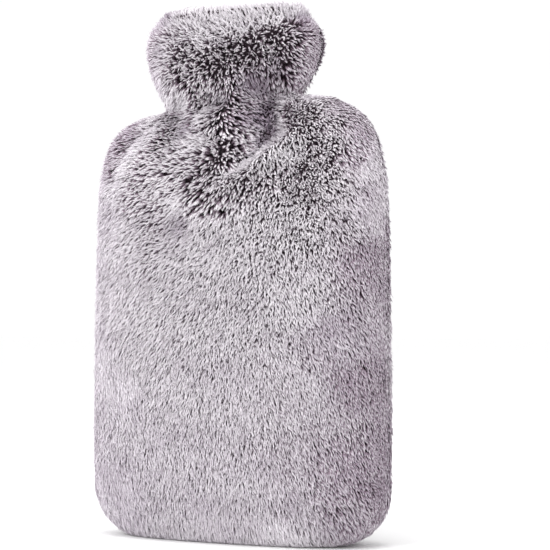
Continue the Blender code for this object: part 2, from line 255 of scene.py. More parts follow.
    Stroke(31, 309, 0.24, -0.48, 8.0, 1.15, 0.63, 0.95, 0.42),
    Stroke(34, 294, 0.20, -0.62, 8.5, 1.47, 0.63, 1.01, 0.60),
    Stroke(46, 300, 0.44, -0.54, 9.0, 1.41, 0.61, 1.00, 0.52),
    Stroke(-52, 302, -0.66, -0.64, 7.0, 0.90, 0.30, 0.50, 0.54),
    # The collar: tufts that stand, dark between, with a paler band across the top, where the dark is
    # held back as painted light, and deeper tips at the two sides, painted shade.
    Stroke(-60, 318, -0.90, -0.24, 6.0, 0.90, 0.55, 0.78, 0.47),
    Stroke(-45, 320, -0.62, -0.10, 6.8, 0.90, 0.63, 0.50, 0.66),
    Stroke(-50, 335, -0.70, 0.60, 6.0, 0.85, 0.50, 0.66, 0.47),
    Stroke(-33, 331, -0.18, 0.14, 7.0, 0.95, 0.67, 0.62, 0.88),
    Stroke(-30, 304, -0.22, -0.34, 8.0, 1.16, 0.73, 0.96, 0.90),
    Stroke(-22, 318, -0.10, 0.00, 7.0, 1.16, 0.74, 0.76, 0.96),
    Stroke(-3, 320, -0.04, 0.00, 7.0, 1.16, 0.74, 0.50, 0.98),
    Stroke(14, 312, 0.02, -0.30, 7.5, 1.18, 0.73, 1.06, 0.84),
    Stroke(29, 318, 0.10, -0.20, 7.5, 1.16, 0.73, 1.04, 0.90),
    Stroke(-31, 311, -0.22, -0.16, 7.0, 1.18, 0.75, 0.80, 0.96),
    Stroke(-15, 323, -0.14, 0.14, 7.0, 0.90, 0.46, 0.06, 1.0),
    Stroke(3, 327, 0.00, 0.18, 7.0, 0.90, 0.42, 0.04, 1.0),
    Stroke(4, 335, 0.02, 0.30, 7.0, 0.86, 0.40, 0.05, 1.0),
    Stroke(20, 330, 0.04, 0.18, 7.0, 0.90, 0.42, 0.04, 1.0),
    Stroke(36, 334, 0.00, 0.16, 7.0, 0.90, 0.42, 0.08, 0.98),
    Stroke(-12, 311, -0.06, -0.14, 7.0, 1.16, 0.75, 1.18, 0.98),
    Stroke(6, 315, 0.00, -0.10, 7.0, 1.16, 0.75, 1.18, 0.98),
    Stroke(20, 320, -0.16, -0.14, 7.0, 1.16, 0.75, 1.14, 0.96),
    Stroke(37, 324, 0.14, -0.24, 7.5, 1.16, 0.73, 0.94, 0.90),
    Stroke(-18, 340, -0.06, 0.44, 6.5, 0.86, 0.45, 0.14, 0.98),
    Stroke(20, 341, 0.02, 0.44, 6.5, 0.86, 0.45, 0.14, 0.96),
    Stroke(44, 340, -0.06, 0.34, 7.0, 1.09, 0.50, 0.34, 0.80),
    Stroke(51, 333, 0.06, 0.04, 7.5, 1.15, 0.57, 0.76, 0.38),
    Stroke(58, 331, 0.80, 0.44, 7.5, 0.95, 0.60, 0.92, 0.54),
    Stroke(52, 320, 0.60, -0.46, 8.0, 1.05, 0.70, 1.04, 0.56),
    Stroke(61, 314, 0.78, -0.50, 7.0, 0.90, 0.60, 0.88, 0.49),
]
BACK_STROKES = [
    Stroke(-98, 60, -0.14, -0.82, 7.5, 0.9, 0.30, 0.15, 0.66),
    Stroke(-98, 190, -0.18, -0.80, 7.5, 0.9, 0.30, 0.15, 0.68),
    Stroke(-45, 40, -0.10, -0.62, 7.0, 0.85, 0.45, 0.45, 0.74),
    Stroke(-45, 130, -0.16, -0.58, 7.0, 0.85, 0.48, 0.50, 0.76),
    Stroke(-45, 200, -0.22, -0.54, 7.0, 0.92, 0.55, 0.60, 0.78),
    Stroke(0, 40, 0.00, -0.62, 7.0, 0.85, 0.45, 0.45, 0.76),
    Stroke(0, 130, 0.04, -0.58, 7.0, 0.85, 0.48, 0.50, 0.78),
    Stroke(0, 210, 0.00, -0.54, 7.0, 0.92, 0.55, 0.60, 0.80),
    Stroke(45, 40, 0.12, -0.62, 7.0, 0.85, 0.45, 0.45, 0.74),
    Stroke(45, 130, 0.18, -0.58, 7.0, 0.85, 0.48, 0.50, 0.76),
    Stroke(45, 200, 0.22, -0.54, 7.0, 0.92, 0.55, 0.60, 0.78),
    # As on the front, the right edge, here and at 58, 318, is dyed deeper: painted shade.
    Stroke(98, 60, 0.14, -0.90, 6.5, 0.85, 0.58, 0.80, 0.42),
    Stroke(98, 190, 0.18, -0.88, 6.5, 0.85, 0.58, 0.75, 0.46),
    Stroke(100, 226, 0.34, -0.86, 6.5, 0.85, 0.30, 0.30, 0.68),
    Stroke(-86, 242, -0.56, -0.50, 8.0, 1.15, 0.55, 0.50, 0.78),
    Stroke(-48, 252, -0.46, -0.34, 7.5, 1.28, 0.75, 0.85, 0.90),
    Stroke(-16, 240, -0.20, -0.46, 8.0, 1.41, 0.80, 0.90, 0.90),
    Stroke(3, 270, 0.00, -0.20, 8.0, 1.41, 0.80, 0.95, 0.86),
    # Plum at the neck under the collar: painted shade.
    Stroke(-26, 275, -0.20, -0.50, 8.0, 1.09, 0.45, 0.50, 0.30),
    Stroke(28, 276, 0.20, -0.50, 8.0, 1.09, 0.45, 0.50, 0.30),
    Stroke(20, 244, 0.16, -0.44, 8.0, 1.41, 0.80, 0.85, 0.90),
    Stroke(48, 252, 0.46, -0.34, 7.5, 1.28, 0.75, 0.85, 0.90),
    Stroke(86, 242, 0.70, -0.60, 7.0, 0.90, 0.30, 0.40, 0.62),
    Stroke(-32, 292, -0.24, -0.58, 8.5, 1.28, 0.65, 0.70, 0.72),
    Stroke(0, 294, 0.02, -0.58, 8.5, 1.34, 0.70, 0.85, 0.70),
    Stroke(32, 292, 0.24, -0.58, 8.5, 1.28, 0.65, 0.70, 0.72),
    Stroke(-58, 318, -0.90, -0.20, 6.5, 0.85, 0.25, 0.35, 0.80),
    Stroke(-28, 316, -0.20, -0.16, 7.5, 1.41, 0.80, 0.95, 0.92),
    Stroke(4, 313, 0.00, -0.14, 7.5, 1.47, 0.80, 0.95, 0.92),
    Stroke(32, 318, 0.22, -0.12, 7.5, 1.41, 0.80, 0.95, 0.90),
    Stroke(58, 318, 0.90, -0.20, 6.5, 0.85, 0.50, 0.80, 0.44),
    Stroke(-30, 338, -0.10, 0.42, 6.5, 1.09, 0.30, 0.15, 0.86),
    Stroke(30, 338, 0.10, 0.42, 6.5, 1.09, 0.30, 0.15, 0.84),
]
STROKES = {"front_panel": FRONT_STROKES, "back_panel": BACK_STROKES}
print(len(FRONT_STROKES), "strokes on the front and", len(BACK_STROKES), "on the back")

# %% [markdown]
# Reading the table at any place is a weighted mean of its rows, in which near strokes count for far
# more than distant ones. The lean is a vector, so where the strokes round a point lean away from
# it, the mean between them is short: the fibres there stand up and the pile opens like a star.
#
# Right and up are followed round the cover, so a stroke still lies in the cloth where the cloth
# turns away. On the sides and over the shoulders the pile is also shorter, flatter and looser, and
# at the rim of the collar it turns inwards and shows less of its dark, painted light that keeps the
# rim pale where it lies in shade.
#
# The front is brushed a little to the right all over, towards where the picture is taken from.
# Fibres that stood square to the cloth would all look as if they leaned left from there.

# %% Read the brushing at any place
STROKE_SOFTNESS = 4.0 * MM  # within this distance of a stroke the brushing hardly changes
STROKE_FALL = 2.0  # how fast a stroke's weight falls, as a power of the distance squared
TO_CAMERA = np.array((math.sin(VIEW_TURN), -math.cos(VIEW_TURN), 0))
TO_CAMERA_SHARE = 0.6
FLATTEST_SQUARED = 0.9  # the most of a stroke's squared lean that counts in turning to the camera
LEAST_LEAN = 0.05
SIDE_FROM_TO = (0.35, 0.75)  # a normal's share along Y where the sides start, and where they end
SIDE_LEAN, SIDE_SHORTER, SIDE_LOOSER = 0.95, 0.25, 0.3
RIM_FROM, RIM_TO = 332 * MM, 345 * MM  # the heights between which the pile turns inwards
RIM_LEAN, RIM_PALER = 0.92, 1.8
TINY = 1e-12  # keeps a vector of no length from being divided by 0
Brush = namedtuple("Brush", "lean length lock gather dark tone")


def unit(vectors):
    return vectors / np.maximum(np.linalg.norm(vectors, axis=-1, keepdims=True), TINY)


def smooth_step(values, low, high):
    share = np.clip((values - low) / (high - low), 0, 1)
    return share * share * (3 - 2 * share)


def brushing(points, normals, strokes):
    """What the brush left at each place. The lean is a vector in the cloth's plane."""
    rows = np.array(strokes, float)
    away = points[:, None, ::2] - rows[None, :, :2] * MM
    weights = ((away**2).sum(-1) + STROKE_SOFTNESS**2) ** -STROKE_FALL
    mean = weights @ rows[:, 2:] / weights.sum(1, keepdims=True)
    front = strokes is FRONT_STROKES
    round_it = unit(np.cross((0, 0, 1.0 if front else -1.0), normals))
    over_it = np.cross(normals, round_it) * (1 if front else -1)
    lean = mean[:, :1] * round_it + mean[:, 1:2] * over_it
    if front:
        upright = np.sqrt(1 - np.clip((mean[:, :2] ** 2).sum(1), 0, FLATTEST_SQUARED))
        facing = np.clip(normals @ TO_CAMERA, 0, 1) * np.clip(-normals[:, 1], 0, 1)
        lean += TO_CAMERA * (upright * facing * TO_CAMERA_SHARE)[:, None]
    # Lay the pile flat where the cover turns away.
    lies = np.maximum(np.linalg.norm(lean, axis=1), LEAST_LEAN)
    turned = 1 - smooth_step(np.abs(normals[:, 1]), *SIDE_FROM_TO)
    lean *= ((lies + np.maximum(SIDE_LEAN - lies, 0) * turned) / lies)[:, None]
    # Turn it inwards at the rim.
    over_rim = np.clip((points[:, 2] - RIM_FROM) / (RIM_TO - RIM_FROM), 0, 1)[:, None]
    lean = lean * (1 - over_rim) - unit(points * (1, 1, 0)) * over_rim * RIM_LEAN
    lean -= normals * (lean * normals).sum(-1, keepdims=True)
    length, lock = mean[:, 2] * MM * (1 - SIDE_SHORTER * turned), mean[:, 3] * MM
    gather = mean[:, 4] * (1 - SIDE_LOOSER * turned)
    # Painted light: at the rim the fibres lose their dark, so the rim stays pale where it lies in
    # shade.
    dark = mean[:, 5] * (1 - np.minimum(RIM_PALER * over_rim[:, 0], 1))
    return Brush(lean, length, lock, gather, dark, mean[:, 6])


# %% [markdown]
# A fibre doesn't lean evenly. It starts more upright than it ends and bends a little past its
# middle, and a flat one is nearly as flat at its root as at its tip. How high the pile stands
# follows from that, and the backing needs it too.

# %% How a fibre leans
BEND_AT = 0.6  # as a share of its length
ROOT_SHARE, ROOT_SHARE_FLAT, TIP_SHARE = 0.62, 0.33, 1.25
MOST_LEAN = 0.97
FLATTEST = math.radians(84)


def leans(lean):
    """The angles from upright of a fibre's lower and upper part."""
    flatness = np.clip(np.linalg.norm(lean, axis=-1), 0, MOST_LEAN)
    angle = np.arcsin(flatness)
    root_share = ROOT_SHARE + ROOT_SHARE_FLAT * flatness**2
    return root_share * angle, np.minimum(TIP_SHARE * angle, FLATTEST)


def pile_height(lean, length):
    """How far the tips are above the cloth."""
    lower, upper = leans(lean)
    return length * (BEND_AT * np.cos(lower) + (1 - BEND_AT) * np.cos(upper))


# %% [markdown]
# ## The backing cloth
#
# The frame's panels reach to the tips of the pile. The cloth that carries the pile lies under them
# by the height of the pile, which is small where the nap is flat and larger where it stands. So
# each panel is copied, and the outer side of the copy sinks by that height. The inner side stays.
# What is left between them is the cloth, a few millimetres thick, with every fold of the frame.
#
# The frame's folds are broad. The sharper creases that lie on them are in this table, in
# millimetres. Each runs from one place to another on a panel, seen from the front, and is a trough
# where its depth is positive and a welt where it is negative.

# %% The creases
Crease = namedtuple("Crease", "x1 z1 x2 z2 width depth")
FRONT_CREASES = [
    Crease(-52, 276, -72, 260, 4.0, 2.6),  # over the left shoulder, and down the side
    Crease(-72, 260, -84, 238, 4.0, 2.2),
    Crease(-84, 238, -86, 150, 6.0, 1.4),
    Crease(-48, 270, -64, 257, 4.0, -1.8),  # the welt beside it
    Crease(-64, 257, -76, 243, 4.0, -1.8),
    Crease(47, 266, 30, 254, 4.5, 2.4),  # the trough above the lit welt
    Crease(30, 254, 14, 243, 4.5, 2.2),
    Crease(54, 258, 36, 247, 3.5, -2.4),  # the lit welt
    Crease(36, 247, 18, 236, 3.5, -2.6),
    Crease(18, 236, 6, 228, 3.5, -2.0),
    Crease(-16, 284, -4, 286, 3.0, 3.0),  # the tuck under the collar
    Crease(-4, 286, 14, 284, 2.5, 1.8),
    Crease(16, 285, 30, 280, 3.0, 2.8),
    Crease(-19, 268, -17, 280, 3.0, 1.8),  # and down from its left end
    Crease(2, 283, 4, 262, 6.0, -0.8),  # the ridge below it
    Crease(-40, 262, -18, 262, 4.0, 1.6),  # the left dimple's lower side
    Crease(-28, 300, -34, 278, 5.0, 1.6),  # the troughs from the neck into the dimples
    Crease(34, 302, 38, 286, 5.0, 2.0),
    Crease(-46, 305, -44, 290, 5.0, -1.2),  # the neck's left edge is full
    Crease(-32, 228, -6, 206, 7.0, -1.5),  # where the beard ends
    Crease(-6, 206, 24, 212, 7.0, -1.5),
    Crease(-30, 207, -12, 201, 7.0, 1.2),
    Crease(-42, 343, -28, 345, 7.0, 2.2),  # the collar's left corner is rounded
    Crease(-56, 329, -51, 337, 5.0, -1.8),  # and full below that
]
BACK_CREASES = [
    Crease(-52, 270, -74, 244, 5.0, 2.0),
    Crease(50, 268, 70, 242, 5.0, 2.0),
    Crease(-14, 288, 16, 287, 4.5, 2.4),
    Crease(-30, 250, -10, 232, 4.5, -2.0),
]
CREASES = {"front_panel": FRONT_CREASES, "back_panel": BACK_CREASES}
print(len(FRONT_CREASES), "creases on the front and", len(BACK_CREASES), "on the back")


def crease_depth(points, creases):
    """How far the creases press each place in."""
    depth = np.zeros(len(points))
    for crease in creases:
        start, end = np.array(crease[:2]) * MM, np.array(crease[2:4]) * MM
        run = end - start
        flat = points[:, ::2] - start
        share = np.clip(flat @ run / (run @ run), 0, 1)
        away = np.linalg.norm(flat - share[:, None] * run, axis=1)
        depth += crease.depth * MM * np.exp(-((away / (crease.width * MM)) ** 2))
    return depth


# %% [markdown]
# Working on a copy leaves the frame's own mesh as it is. The copy's double points are merged, so
# its triangles hang together and each point has one normal, and each triangle is cut in four, so
# there are points enough for the creases to show in.

# %% Copy a panel
MERGE_WITHIN = 0.01 * MM


def copy_of(node, name):
    """A merged and refined copy of a frame node's mesh, as a new object."""
    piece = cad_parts[node].copy()
    piece.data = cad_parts[node].data.copy()
    for key in list(piece.keys()):
        del piece[key]
    piece.name = piece.data.name = name
    piece.parent = None
    bpy.context.scene.collection.objects.link(piece)
    for thing in bpy.context.selected_objects:
        thing.select_set(False)
    piece.select_set(True)
    bpy.context.view_layer.objects.active = piece
    bpy.ops.object.mode_set(mode="EDIT")
    bpy.ops.mesh.select_all(action="SELECT")
    bpy.ops.mesh.remove_doubles(threshold=MERGE_WITHIN)
    bpy.ops.mesh.subdivide(number_cuts=1)
    bpy.ops.mesh.quads_convert_to_tris()
    bpy.ops.object.mode_set(mode="OBJECT")
    return piece


def triangles_of(points, corners):
    """Each triangle's middle, normal and area."""
    a, b, c = (points[corners[:, k]] for k in range(3))
    across = np.cross(b - a, c - a)
    return (a + b + c) / 3, unit(across), np.linalg.norm(across, axis=1) / 2


def read_mesh(mesh):
    """The mesh as arrays: its points, and its triangles' corners."""
    points = np.empty(len(mesh.vertices) * 3, np.float32)
    mesh.vertices.foreach_get("co", points)
    mesh.calc_loop_triangles()
    corners = np.empty(len(mesh.loop_triangles) * 3, np.int32)
    mesh.loop_triangles.foreach_get("vertices", corners)
    return points.reshape(-1, 3).astype(float), corners.reshape(-1, 3)


# %% [markdown]
# The panel is a closed shell, so its outer side has to be told from its inner one. Outside, the
# surface looks away from the upright line inside the cover, or, under the base, down. The narrow
# strips along which the panels are sewn look at the other panel, and carry no pile.

# %% Tell the outer side from the inner one
BASE_TOP, BASE_FACE = 20 * MM, 0.5  # under this height, faces this much up or down are the base
SEAM_REACH, SEAM_FACE = 0.5 * MM, 0.99  # a face this near the seam, and this much along Y, is sewn
RIM_PILE_FROM = 331 * MM  # above this the inner side of the collar has pile too


def outwardness(points, normals):
    """1 where a direction points away from the upright line inside the cover, -1 towards it."""
    half = (np.array(cad_box[1]) - np.array(cad_box[0])) / 2
    away = unit(points[:, :2] / half[:2] ** 2)
    return (away * normals[:, :2]).sum(-1)


def sides(middles, normals):
    """Which triangles are on the outer side, and which have pile."""
    sewn = (np.abs(middles[:, 1]) < SEAM_REACH) & (np.abs(normals[:, 1]) > SEAM_FACE)
    base = (middles[:, 2] < BASE_TOP) & (np.abs(normals[:, 2]) > BASE_FACE)
    outer = np.where(base, normals[:, 2] < 0, outwardness(middles, normals) > 0) & ~sewn
    return outer, (outer | (middles[:, 2] > RIM_PILE_FROM)) & ~sewn


def point_normals_of(points, corners, weighted):
    """Each point's normal, from the weighted normals of its triangles, and whether it has one."""
    total = np.zeros_like(points)
    for k in range(3):
        np.add.at(total, corners[:, k], weighted)
    total[np.abs(points[:, 1]) < SEAM_REACH, 1] = 0
    return unit(total), np.linalg.norm(total, axis=1) > 0


# %% [markdown]
# Now each copy becomes its panel's cloth. A point sinks along its normal, by the height of the pile
# that the brush left there and by the depth of the creases. Where the surface turns from the outer
# side to the inner one, it sinks by less and less, so the cloth stays closed. At the rim of the
# collar the cloth's own edge is tucked down a little further, out of sight under the pile.

# %% Sink the outer side of each panel
PANELS = {"front_panel": "front_cloth", "back_panel": "back_cloth"}
SINK_START, SINK_RISE = 0.5, 1.2  # a point sinks by a share, which grows as it looks outwards
RIM_TUCK = 2.5 * MM  # the cloth's own edge is this much lower than the pile's roots
Skin = namedtuple("Skin", "points corners normals widths")

cloths, skins = {}, {}
for node, name in PANELS.items():
    cloth = copy_of(node, name)
    points, corners = read_mesh(cloth.data)
    middles, normals, areas = triangles_of(points, corners)
    outer, furry = sides(middles, normals)
    weighted = (normals * areas[:, None])[furry]
    point_normals, touched = point_normals_of(points, corners[furry], weighted)
    share = np.clip(SINK_START + SINK_RISE * outwardness(points, point_normals), 0, 1)
    share = np.where(points[:, 2] < BASE_TOP, 1, share) * touched
    brush = brushing(points, point_normals, STROKES[node])
    sink = pile_height(brush.lean, brush.length) + crease_depth(points, CREASES[node])
    sunk = points - point_normals * (sink * share)[:, None]
    skins[node] = Skin(sunk, corners[furry], point_normals, brush.lock)
    tucked = sunk - np.outer(smooth_step(points[:, 2], RIM_FROM, RIM_TO), (0, 0, RIM_TUCK))
    cloth.data.vertices.foreach_set("co", tucked.astype(np.float32).ravel())
    cloth.data.update()
    cloths[node] = cloth
    print(name, len(points), "points,", int(outer.sum()), "outer triangles,",
          f"{areas[outer].sum() * 1e4:.0f} square cm outside")

# %% [markdown]
# ## The pile
#
# There are two usual ways to make fur. A particle system is quick, but it isn't a mesh, so nothing
# of it is left in an exported model. Here each fibre is a real blade of mesh instead, shaped like a
# long kite: a point at the root, two past the middle and one at the tip, which is only two
# triangles, bent where they meet. Arrays make all of them at once. First the locks are scattered
# over the cloth. Many places are drawn at random, and each one that is kept strikes out those that
# are nearer than a lock's width, so the locks cover the cloth evenly without looking like a grid.

# %% Scatter the locks
SEED = 11
rng = np.random.default_rng(SEED)


def random_places(skin, tries):
    """Places all over the skin, with the normal and the width of a lock at each."""
    areas = triangles_of(skin.points, skin.corners)[2]
    corners = skin.corners[rng.choice(len(skin.corners), size=tries, p=areas / areas.sum())]
    u, v = rng.random((2, tries, 1))
    flip = u + v > 1
    u, v = np.where(flip, 1 - u, u), np.where(flip, 1 - v, v)
    parts = (1 - u - v, u, v)
    places, directions, widths = (
        sum(part * values[corners[:, k]] for k, part in enumerate(parts))
        for values in (skin.points, skin.normals, skin.widths[:, None])
    )
    return places, unit(directions), widths[:, 0]


def scatter(skin, coarser, tries):
    """Places on the skin, a lock's width apart, with the normal at each."""
    places, directions, widths = random_places(skin, tries)
    tree = KDTree(tries)
    for n, place in enumerate(places.tolist()):
        tree.insert(place, n)
    tree.balance()
    free, kept = np.ones(tries, bool), []
    for n, (place, reach) in enumerate(zip(places.tolist(), (widths * coarser).tolist())):
        if free[n]:
            free[[found[1] for found in tree.find_range(place, reach)]] = False
            kept.append(n)
    return places[kept], directions[kept]


# %% [markdown]
# Hand-brushed pile is uneven on a larger scale too. A few dozen waves in all directions, added up,
# give a value that drifts smoothly from place to place and never repeats.

# %% A slow drift
WAVES = 24
WAVE_NUMBERS = (0.6, 1.6)  # how many waves go into the given size


def new_drift(size, values):
    """A function of points: smooth random values about 0, that change over the given size."""
    waves = unit(rng.normal(size=(WAVES, 3))) * rng.uniform(*WAVE_NUMBERS, (WAVES, 1))
    waves = waves * 2 * math.pi / size
    phases = rng.random(WAVES) * 2 * math.pi
    shares = rng.normal(size=(WAVES, values)) / math.sqrt(WAVES / 2)
    return lambda points: np.cos(points @ waves.T + phases) @ shares


lean_drift = new_drift(34 * MM, 3)
wisp_drift = new_drift(9 * MM, 3)
look_drift = new_drift(22 * MM, 2)

# %% [markdown]
# A lock is a handful of fibres whose roots are spread out and whose tips are drawn together, and
# each lock leans and curls a little in its own way, the less so the flatter it lies.

# %% Shape the locks
LOCK_WANDER, LOCK_CURL = 0.36, math.radians(16)
LEAN_DRIFT, WISP_DRIFT, DARK_DRIFT, TONE_DRIFT = 0.03, 0.07, 0.05, 0.03
FLAT_STEADINESS = 0.95
LOCK_TONE, LOCK_LENGTH = 0.05, 0.06  # how far these vary from lock to lock
DARKEST = 1.4
Locks = namedtuple("Locks", "lean steady along side middle rise dark tone")


def shape_locks(places, normals, brush):
    """The line of each lock, up to its bend and on to its tip, and its look."""
    count = len(places)
    wander = rng.normal(size=(count, 3)) * LOCK_WANDER
    wander += lean_drift(places) * LEAN_DRIFT + wisp_drift(places) * WISP_DRIFT
    flatness = np.clip(np.linalg.norm(brush.lean, axis=1, keepdims=True), 0, 1)
    steady = 1 - FLAT_STEADINESS * flatness
    wander *= steady
    lean = brush.lean + wander - normals * (wander * normals).sum(-1, keepdims=True)
    look = look_drift(places)
    dark = np.clip(brush.dark + look[:, 0] * DARK_DRIFT, 0, DARKEST)
    tone = brush.tone + look[:, 1] * TONE_DRIFT + rng.normal(0, LOCK_TONE, count)
    lower, upper = (angle[:, None] for angle in leans(lean))
    along = unit(lean)
    side = np.cross(normals, along)
    curl = rng.normal(0, LOCK_CURL, (count, 1))
    length = (brush.length * rng.normal(1, LOCK_LENGTH, count))[:, None]
    middle = length * BEND_AT * (normals * np.cos(lower) + along * np.sin(lower))
    turned = along * np.cos(curl) + side * np.sin(curl)
    rise = length * (1 - BEND_AT) * (normals * np.cos(upper) + turned * np.sin(upper))
    return Locks(lean, steady, along, side, middle, rise, dark, tone)


# %% [markdown]
# From here on there is one row for each fibre, and lock says which lock it belongs to. A blade's
# flat side faces away from the cloth where the fibre lies, and any way where it stands. The floor
# flattens the pile that the cover stands on, so no point goes lower than that.

# %% Grow the fibres of the locks
FEWEST_FIBRES = 3
LOCK_SPREAD = 0.72  # how far from a lock's middle its roots are, as a share of its width
ROOT_DEPTH = 0.4 * MM  # how far a root is sunk into the cloth
FIBRE_SIZE, FIBRE_GATHER, FIBRE_STRAY = 0.07, 0.10, 0.20 * MM  # how far these vary
MOST_GATHER = 0.95
GATHER_AT_BEND, STRAY_AT_BEND = 0.55, 0.4  # as shares of what they are at the tip
ROLL, STANDING_ROLL = 0.5, 0.9  # how far blades are rolled, and how much further they are upright
WIDTHS = (0.7, 1.3)  # the least and most of a blade's width, as shares of the usual one
NUDGE = 1e-9  # gives a fibre that stands quite straight a side to turn its blade to
LOWEST = 0.3 * MM  # above the floor


def grow(places, normals, brush, locks, growth):
    """The fibres' points, (fibre, 4, 3), and which lock each fibre belongs to."""
    spread = brush.lock * growth.coarser
    counts = np.round(growth.fibres * (spread / MM) ** 2)
    lock = np.repeat(np.arange(len(places)), np.maximum(FEWEST_FIBRES, counts).astype(int))
    shape = (len(lock), 1)
    turn = rng.random(shape) * 2 * math.pi
    reach = np.sqrt(rng.random(shape)) * spread[lock, None] * LOCK_SPREAD
    offset = locks.along[lock] * np.cos(turn) * reach + locks.side[lock] * np.sin(turn) * reach
    size = rng.normal(1, FIBRE_SIZE, shape)
    pull = np.clip(brush.gather[lock, None] + rng.normal(0, FIBRE_GATHER, shape), 0, MOST_GATHER)
    stray = rng.normal(size=(len(lock), 3)) * FIBRE_STRAY * locks.steady[lock]
    root = places[lock] + offset - normals[lock] * ROOT_DEPTH
    bend = places[lock] + offset * (1 - GATHER_AT_BEND * pull)
    bend = bend + locks.middle[lock] * size + stray * STRAY_AT_BEND
    tip = places[lock] + offset * (1 - pull) + (locks.middle + locks.rise)[lock] * size + stray

    direction = unit(tip - root)
    flatness = np.clip(np.linalg.norm(locks.lean, axis=1), 0, 1)[lock, None]
    roll = rng.normal(size=shape) * (ROLL + STANDING_ROLL * (1 - flatness))
    across = unit(np.cross(normals[lock], direction) + NUDGE)
    across = across * np.cos(roll) + np.cross(direction, across) * np.sin(roll)
    width = growth.width / 2 * rng.uniform(*WIDTHS, shape) * np.sqrt(brush.lock / MM)[lock, None]
    blades = np.stack([root, bend - across * width, bend + across * width, tip], axis=1)
    blades[:, :, 2] = np.maximum(blades[:, :, 2], LOWEST)
    return blades, lock


# %% [markdown]
# The colour needs only two numbers, so each fibre carries them in its UV map: how far through the
# dye a point is, from its dark root to its pale tip, and how pale the fibre is. Where the strokes
# make the pile darker, its roots and bends are held back in the dye. In places that darkness and the
# palest tips are painted shade and painted highlight.

# %% Dye the fibres, and paint light and shade into them
FIBRE_TONE = 0.07  # how far the tone varies from fibre to fibre
TONES = (0.02, 0.98)  # the deepest and the palest
ROOT_DYE, BEND_DYE, TIP_DYE = 0.02, 0.40, 0.98
ROOT_PALER, BEND_PALER = 0.50, 0.40  # how much further on they are where the pile isn't dark
ROOT_LEAST = 0.01
TONE_WIDTH = 0.012  # a blade's two sides lie this far from its middle in the map


def dye_and_paint_light(locks, lock):
    """The fibres' UVs, (fibre, 4, 2)."""
    tones = np.clip(locks.tone[lock] + rng.normal(0, FIBRE_TONE, len(lock)), *TONES)
    paler = 1 - locks.dark[lock]
    uvs = np.zeros((len(lock), 4, 2))
    uvs[:, 0, 0] = np.maximum(ROOT_DYE + ROOT_PALER * paler, ROOT_LEAST)
    uvs[:, 1:3, 0] = (BEND_DYE + BEND_PALER * paler)[:, None]
    uvs[:, 3, 0] = TIP_DYE
    uvs[..., 1] = tones[:, None] + np.array((0, -1, 1, 0)) * TONE_WIDTH
    return uvs


# %% [markdown]
# The blades of one part of the cover become one mesh. Blender's own list-based calls would take
# minutes over a million triangles, so the arrays are handed to the mesh whole.

# %% Make a mesh from the blades
BLADE = np.array([(0, 2, 1), (1, 2, 3)])
BLADE_POINTS = 4


def pile_object(name, blades, uvs, material):
    """One piece of the pile."""
    count, faces = len(blades), len(BLADE)
    corners = (BLADE[None] + BLADE_POINTS * np.arange(count)[:, None, None]).reshape(-1)
    mesh = bpy.data.meshes.new(name)
    mesh.vertices.add(count * BLADE_POINTS)
    mesh.vertices.foreach_set("co", blades.astype(np.float32).ravel())
    mesh.loops.add(len(corners))
    mesh.loops.foreach_set("vertex_index", corners.astype(np.int32))
    mesh.polygons.add(count * faces)
    mesh.polygons.foreach_set("loop_start", np.arange(0, len(corners), 3, dtype=np.int32))
    mesh.polygons.foreach_set("use_smooth", np.ones(count * faces, bool))
    layer = mesh.uv_layers.new(name="OFBake")
    layer.data.foreach_set("uv", uvs.reshape(-1, 2)[corners].astype(np.float32).ravel())
    mesh.update(calc_edges=True)
    mesh.materials.append(material)
    piece = bpy.data.objects.new(name, mesh)
    bpy.context.scene.collection.objects.link(piece)
    return piece


# %% [markdown]
# ## The materials
#
# Shader maths reads best as maths. This small class holds a socket, and the usual signs add the
# Math nodes. Every other node comes from one method, which sets the node up and then feeds it.


# %% A socket that can be reckoned with
class Socket:
    """An output of a shader node."""

    def __init__(self, tree, socket):
        self.tree, self.socket = tree, socket

    def node(self, kind, settings=None, **sockets):
        """Adds a node. Settings are set first, and then the values or links of its sockets, which
        are given by name, or by number after an i."""
        made = self.tree.nodes.new(kind)
        for name, value in (settings or {}).items():
            setattr(made, name, value)
        for name, value in sockets.items():
            key = int(name[1:]) if name[0] == "i" and name[1:].isdigit() else name.replace("_", " ")
            if isinstance(value, Socket):
                self.tree.links.new(value.socket, made.inputs[key])
            else:
                made.inputs[key].default_value = value
        return made

    def out(self, made, name=0):
        return Socket(self.tree, made.outputs[name])

    def maths(self, operation, first, second):
        return self.out(self.node("ShaderNodeMath", {"operation": operation}, i0=first, i1=second))

    def __add__(self, other):
        return self.maths("ADD", self, other)

    def __mul__(self, other):
        return self.maths("MULTIPLY", self, other)

    def between(self, low, high):
        """0 below low, 1 above high, and a smooth step between them."""
        step = self.node("ShaderNodeMapRange", {"interpolation_type": "SMOOTHSTEP"},
                         Value=self, From_Min=low, From_Max=high)
        return self.out(step)

    def mixed(self, first, second):
        """first where this is 0, second where it is 1, both colours."""
        mix = self.node("ShaderNodeMix", {"data_type": "RGBA"}, i0=self, i6=first, i7=second)
        return self.out(mix, 2)


SHEEN_ROUGHNESS = 0.6
SPECULAR_LEVEL = 0.06  # cloth hardly glints


def new_material(name, roughness, sheen):
    material = bpy.data.materials.new(name)
    material.use_nodes = True
    tree = material.node_tree
    shader = tree.nodes["Principled BSDF"]
    shader.inputs["Roughness"].default_value = roughness
    shader.inputs["Sheen Weight"].default_value = sheen
    shader.inputs["Sheen Roughness"].default_value = SHEEN_ROUGHNESS
    shader.inputs["Specular IOR Level"].default_value = SPECULAR_LEVEL
    return material, tree, shader


# %% [markdown]
# A fibre is nearly black at its root, plum grey in its middle and lilac grey at its tip, where it
# is deeper or paler from one fibre to the next.

